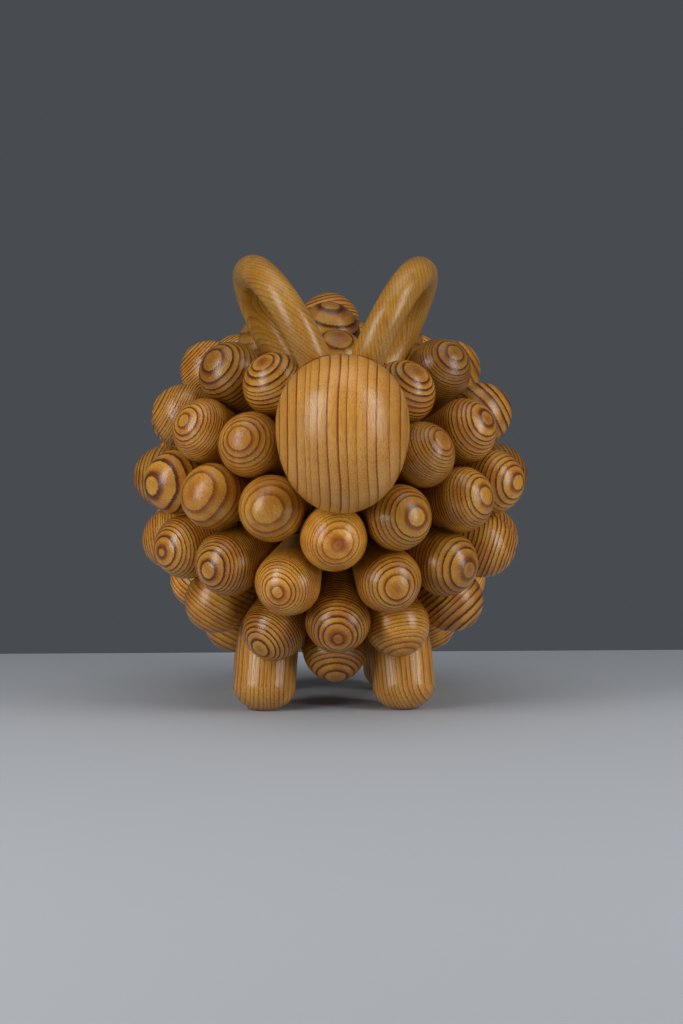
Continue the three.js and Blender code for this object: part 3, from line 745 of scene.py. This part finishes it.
class RAM_OT_head(bpy.types.Operator):
    """Turns the egg-shaped head and fits its back into the wool"""

    bl_idname = "ram.head"
    bl_label = "Head"

    def execute(self, context):
        s = sizes()
        middle = head_middle()
        angle = np.linspace(-math.pi / 2, math.pi / 2, HEAD_ROWS)
        tall = np.where(angle < 0, s["chin"], s["crown"])
        rise = np.sign(angle) * tall * np.abs(np.sin(angle)) ** (2 / EGG_POWER)
        wide = s["head"] / 2 * np.maximum(np.cos(angle), 0) ** (2 / EGG_POWER)
        # An exactly upright axis has no level direction across it, so this one leans a hair
        axis = np.array([1e-9, 0, 1.0])
        rings, low, high = lathe(np.stack([wide, rise], -1), middle, axis, HEAD_SIDES)
        inside = np.broadcast_to(middle, rings.shape).copy()
        inside[..., 2] = rings[..., 2]
        rings = clear_of_pegs(inside, rings, all_pegs())
        shell = (rings, low, high)
        turn = math.radians(HEAD_TURN)
        layers = np.array([math.cos(turn), math.sin(turn), 0.0])
        fibre = np.array(HEAD_FIBRE)
        timber = timber_of(shell_points(shell), middle, layers, fibre, HEAD_PITH)
        lines = np.array(HEAD_LINES)
        front = -np.sqrt(np.maximum((s["head"] / 2) ** 2 - lines ** 2, 0))
        edges = np.sqrt((lines + HEAD_PITH) ** 2 + front ** 2) - HEAD_PITH
        more = np.arange(1, HEAD_MORE_RINGS + 1)
        outer = edges[-1] + more * HEAD_OUTER_RING
        inner = edges[0] - more[::-1] * HEAD_INNER_RING
        edges = np.concatenate([inner, edges, outer])
        rings_at = np.interp(timber[:, 2], edges, np.arange(len(edges), dtype=float))
        growth = growth_of(rings_at, strength=1.2, tone=0.94)
        # Pine turned along its fibres: thin upright lines on a paler, evener ground
        wood = pine("lacquered_pine_head", *HEAD_WOOD, rough=0.38, onset_from=0.70)
        eye = np.tile([0.0, 0.3, 0.0], (len(timber), 1))
        piece = put_mesh("turned_head", [shell], growth, timber, eye)
        finish_piece(piece, ["head"], wood)
        return {"FINISHED"}


def head_middle():
    """Middle of the head at its widest place."""
    s = sizes()
    return middle_of_ball() + np.array(
        [0.0, s["tuck"] - s["reach"] - s["stretch"] - s["head"] / 2, s["lift"]])


def off_head(points, gap):
    """Above 1 outside the head grown by a gap, 1 on it: its superellipse in height and width."""
    s = sizes()
    off = points - head_middle()
    wide = np.hypot(off[..., 0], off[..., 1]) / (s["head"] / 2 + gap)
    tall = np.where(off[..., 2] < 0, s["chin"], s["crown"]) + gap
    return wide ** EGG_POWER + np.abs(off[..., 2] / tall) ** EGG_POWER


class RAM_OT_horns(bpy.types.Operator):
    """Bends the two horns: rod along an arch, saddled onto the crown of the head"""

    bl_idname = "ram.horns"
    bl_label = "Horns"

    def execute(self, context):
        s = sizes()
        finish = context.scene.ram_finish
        # Close-grown pine rod, bent: faint fine lines on the slant and a smoother lacquer
        wood = pine("lacquered_pine_horn", finish.horn_wood, HORN_LEAD, HORN_LINE,
                    rough=0.34, onset_from=0.66)
        pegs = all_pegs()
        for horn, name in zip(HORNS, ("left_horn", "right_horn")):
            lean, flare = math.radians(horn["lean"]), math.radians(horn["flare"])
            up = np.array([horn["side"] * math.sin(lean), 0, math.cos(lean)])
            back = np.array([horn["side"] * math.sin(flare), math.cos(flare), 0])
            back = unit(back - (back @ up) * up)
            across = np.cross(back, up)
            middle = middle_of_ball() + np.array(
                [horn["side"] * horn["out"], horn["radius"] - horn["foot"], horn["rise"]])

            def at(turn, around):
                """Point of the rod's skin: out from the middle of the arch by its radius and the
                rod's, turned over the top, and round the rod."""
                out = -np.cos(turn)[..., None] * back + np.sin(turn)[..., None] * up
                skin = np.cos(around)[..., None] * out + np.sin(around)[..., None] * across
                centre = middle + horn["radius"] * out
                return centre + s["horn"] / 2 * skin, centre

            # Each line along the rod starts where it leaves the head, between these two turns
            around = -np.arange(HORN_SIDES) * 2 * math.pi / HORN_SIDES
            low, high = (np.full(HORN_SIDES, math.radians(turn)) for turn in SADDLE_TURNS)
            for _ in range(SADDLE_HALVINGS):
                half = (low + high) / 2
                outside = off_head(at(half, around)[0], CLEARANCE) > 1
                low, high = np.where(outside, low, half), np.where(outside, half, high)
            share = np.linspace(0, 1, HORN_ROWS)[:, None]
            turn = high + share * (math.radians(horn["end_turn"]) - high)
            skin, centre = at(turn, np.broadcast_to(around, turn.shape))
            skin = clear_of_pegs(centre, skin, pegs)
            shell = (skin, skin[0].mean(0), skin[-1].mean(0))
            points = shell_points(shell)
            layers = unit(np.array(horn["layers"]))
            fibre = np.array(HORN_FIBRE)
            timber = timber_of(points, middle, layers, fibre, HORN_PITH)
            rings = ring_count(timber[:, 2], HORN_RING, 0.0, HORN_SEED + horn["side"])
            growth = growth_of(rings, strength=0.26, tone=0.84)
            piece = put_mesh(f"bent_{name}", [shell], growth, timber)
            finish_piece(piece, [name], wood)
        return {"FINISHED"}


class RAM_OT_legs(bpy.types.Operator):
    """Turns the four round-ended legs and sands a small flat under each"""

    bl_idname = "ram.legs"
    bl_label = "Legs"

    def execute(self, context):
        s = sizes()
        # Pine turned along its fibres: soft close lines that run down the leg
        wood = pine("lacquered_pine_leg", *LEG_WOOD, rough=0.38, onset_from=0.6)
        pegs = all_pegs()
        girth = s["leg"] / 2
        side_lean = math.tan(math.radians(LEG_SIDE_LEAN))
        end_lean = math.tan(math.radians(LEG_END_LEAN))
        # The lowest point of the leaning bottom would be under the table: its cut is the flat
        rise = math.hypot(LEG_BOTTOM, girth * math.sin(math.radians(LEG_END_LEAN))) - FOOT_CUT
        for number, (end, side, layers_turn, name) in enumerate(LEGS):
            foot = middle_of_ball() + np.array(
                [side * LEG_TRACK / 2, end * LEG_BASE / 2, rise - s["height"]])
            way = unit(np.array([-side * side_lean, -end * end_lean, 1.0]))
            angle = np.linspace(-math.pi / 2, 0, LEG_BOTTOM_ROWS)
            bottom = np.stack([girth * np.cos(angle), LEG_BOTTOM * np.sin(angle)], -1)
            along = np.linspace(LEG_STRAIGHT_START, LEG_STRAIGHT, LEG_STRAIGHT_ROWS)
            straight = np.stack([np.full(LEG_STRAIGHT_ROWS, girth), along], -1)
            taper = np.linspace(0, 1, LEG_TAPER_ROWS + 1)[1:]
            upper = np.stack([girth + (LEG_NECK - girth) * taper ** LEG_CURVE,
                              LEG_STRAIGHT + (LEG_TAPER - LEG_STRAIGHT) * taper], -1)
            tip = np.array([[LEG_TENON, LEG_TAPER], [LEG_TENON, LEG_TIP], [0, LEG_TIP]])
            profile = np.vstack([bottom, straight, upper, tip])
            rings, low, high = lathe(profile, foot, way, LEG_SIDES)
            inside = foot + ((rings - foot) @ way)[..., None] * way
            rings = clear_of_pegs(inside, rings, pegs)
            rings[..., 2] = np.maximum(rings[..., 2], 0)
            low = np.array([low[0], low[1], 0.0])
            shell = (rings, low, high)
            turn = math.radians(layers_turn)
            layers = np.array([math.cos(turn), math.sin(turn), 0.0])
            layers = unit(layers - (layers @ way) * way)
            timber = timber_of(shell_points(shell), foot, layers, way, LEG_PITH)
            rings_at = ring_count(timber[:, 2], LEG_RING, 0.0, LEG_SEED + number)
            growth = growth_of(rings_at, strength=0.42, tone=0.92)
            piece = put_mesh(f"turned_{name}", [shell], growth, timber + LEG_APART * number)
            finish_piece(piece, [name], wood)
        return {"FINISHED"}


class RAM_OT_ball(bpy.types.Operator):
    """Finishes the drilled ball and the hidden dowels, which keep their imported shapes"""

    bl_idname = "ram.ball"
    bl_label = "Ball and dowels"

    def execute(self, context):
        # The drilled ball is pine darkened to near black as painted shade, so that the gaps between
        # the pegs read nearly black, and the dowels are pale beech with close, weak rings
        ball = pine("lacquered_pine_ball_painted_shade", *BALL_PAINTED_SHADE,
                    rough=0.5, from_attributes=False, ring_width=3.0)
        dowel = pine("beech_dowel", *DOWEL_WOOD,
                     rough=0.55, from_attributes=False, ring_width=1.2)
        for node in sorted(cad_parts):
            material = {"core_ball": ball}.get(node, dowel if "dowel" in node else None)
            if material:
                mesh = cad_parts[node].data
                mesh.materials.clear()
                mesh.materials.append(material)
        return {"FINISHED"}


class RAM_OT_stage(bpy.types.Operator):
    """Lays the table, lights the ram softly and sets up the camera"""

    bl_idname = "ram.stage"
    bl_label = "Stage"

    def execute(self, context):
        scene = context.scene
        stage = scene.ram_stage
        scene.view_settings.view_transform = "Standard"
        edge = stage.table_edge
        corners = [(-TABLE_HALF, TABLE_FRONT, 0), (TABLE_HALF, TABLE_FRONT, 0),
                   (TABLE_HALF, edge, 0), (-TABLE_HALF, edge, 0)]
        mesh = bpy.data.meshes.new("table_top")
        mesh.from_pydata(corners + [(x, y, -TABLE_THICK) for x, y, _ in corners], [],
                         [(0, 1, 2, 3), (7, 6, 5, 4), (0, 4, 5, 1), (1, 5, 6, 2), (2, 6, 7, 3),
                          (3, 7, 4, 0)])
        table = bpy.data.objects.new("table_top", mesh)
        scene.collection.objects.link(table)
        # Painted board: matt, pale and a little cool
        top = bpy.data.materials.new("painted_table")
        top.use_nodes = True
        tree = top.node_tree
        tree.nodes.clear()
        shader = add_node(tree, "ShaderNodeBsdfPrincipled", None,
                          {"Base Color": linear(stage.table), "Roughness": 0.7,
                           "Specular IOR Level": 0.2})
        add_node(tree, "ShaderNodeOutputMaterial", None, {"Surface": shader[0]})
        mesh.materials.append(top)

        world = bpy.data.worlds.new("plain_backdrop")
        scene.world = world
        world.use_nodes = True
        tree = world.node_tree
        tree.nodes.clear()
        # Only the camera and gloss see the backdrop's colour; the wood is lit by a soft pale sky
        path = add_node(tree, "ShaderNodeLightPath")
        seen = add_node(tree, "ShaderNodeMath", {"operation": "ADD"},
                        {0: path["Is Camera Ray"], 1: path["Is Glossy Ray"]})[0]
        seen = add_node(tree, "ShaderNodeMath", {"operation": "ADD", "use_clamp": True},
                        {0: seen, 1: path["Is Transmission Ray"]})[0]
        plain = add_node(tree, "ShaderNodeBackground", None,
                         {"Color": linear(stage.backdrop), "Strength": 1.0})[0]
        soft = add_node(tree, "ShaderNodeBackground", None,
                        {"Color": (0.93, 0.96, 1.0, 1.0), "Strength": 0.14})[0]
        both = add_node(tree, "ShaderNodeMixShader", None, {0: seen, 1: soft, 2: plain})
        add_node(tree, "ShaderNodeOutputWorld", None, {"Surface": both[0]})

        for name, azimuth, elevation, distance, size, power in LAMPS:
            lamp = bpy.data.lights.new(name, "AREA")
            lamp.shape = "RECTANGLE"
            lamp.size, lamp.size_y = size
            lamp.energy = stage.key * power
            lamp.color = (1.0, 0.985, 0.96)
            holder = bpy.data.objects.new(name, lamp)
            scene.collection.objects.link(holder)
            turn, tip = math.radians(azimuth), math.radians(elevation)
            away = Vector((math.sin(turn) * math.cos(tip), -math.cos(turn) * math.cos(tip),
                           math.sin(tip)))
            holder.location = Vector(LIT_POINT) + away * distance
            holder.rotation_euler = away.to_track_quat("Z", "Y").to_euler()

        camera = bpy.data.objects.new("camera", bpy.data.cameras.new("camera"))
        scene.collection.objects.link(camera)
        camera.data.sensor_fit = "VERTICAL"
        camera.data.sensor_height = 36
        camera.data.lens = CAMERA_LENS
        camera.data.clip_start = 0.05
        forward = Vector(CAMERA_AIM).normalized()
        camera.matrix_world = Matrix.Translation(CAMERA_PLACE) @ (
            (-forward).to_track_quat("Z", "Y").to_matrix().to_4x4())
        scene.camera = camera
        return {"FINISHED"}


class RAM_PT_panel(bpy.types.Panel):
    """Lists the pieces of the ram, their sizes and their finish"""

    bl_idname = "RAM_PT_panel"
    bl_label = "Wooden Ram"
    bl_space_type = "VIEW_3D"
    bl_region_type = "UI"
    bl_category = "Ram"

    def draw(self, context):
        for operator in OPERATORS:
            self.layout.operator(operator.bl_idname)
        for name in ("ram_sizes", "ram_finish", "ram_stage"):
            group = getattr(context.scene, name)
            box = self.layout.box()
            for key in group.bl_rna.properties.keys():
                if key not in ("rna_type", "name"):
                    box.prop(group, key)


GROUPS = (RamSizes, RamFinish, RamStage)
OPERATORS = (RAM_OT_stage, RAM_OT_pegs, RAM_OT_head, RAM_OT_horns, RAM_OT_legs, RAM_OT_ball)


def register():
    """Adds the ram's property groups, operators and panel to Blender."""
    for part in GROUPS + OPERATORS + (RAM_PT_panel,):
        bpy.utils.register_class(part)
    bpy.types.Scene.ram_sizes = bpy.props.PointerProperty(type=RamSizes)
    bpy.types.Scene.ram_finish = bpy.props.PointerProperty(type=RamFinish)
    bpy.types.Scene.ram_stage = bpy.props.PointerProperty(type=RamStage)


def unregister():
    """Takes them out again."""
    del bpy.types.Scene.ram_sizes, bpy.types.Scene.ram_finish, bpy.types.Scene.ram_stage
    for part in reversed(GROUPS + OPERATORS + (RAM_PT_panel,)):
        bpy.utils.unregister_class(part)


def main():
    register()
    bpy.ops.ram.stage()
    bpy.ops.ram.pegs()
    bpy.ops.ram.head()
    bpy.ops.ram.horns()
    bpy.ops.ram.legs()
    bpy.ops.ram.ball()


if __name__ == "__main__":
    main()
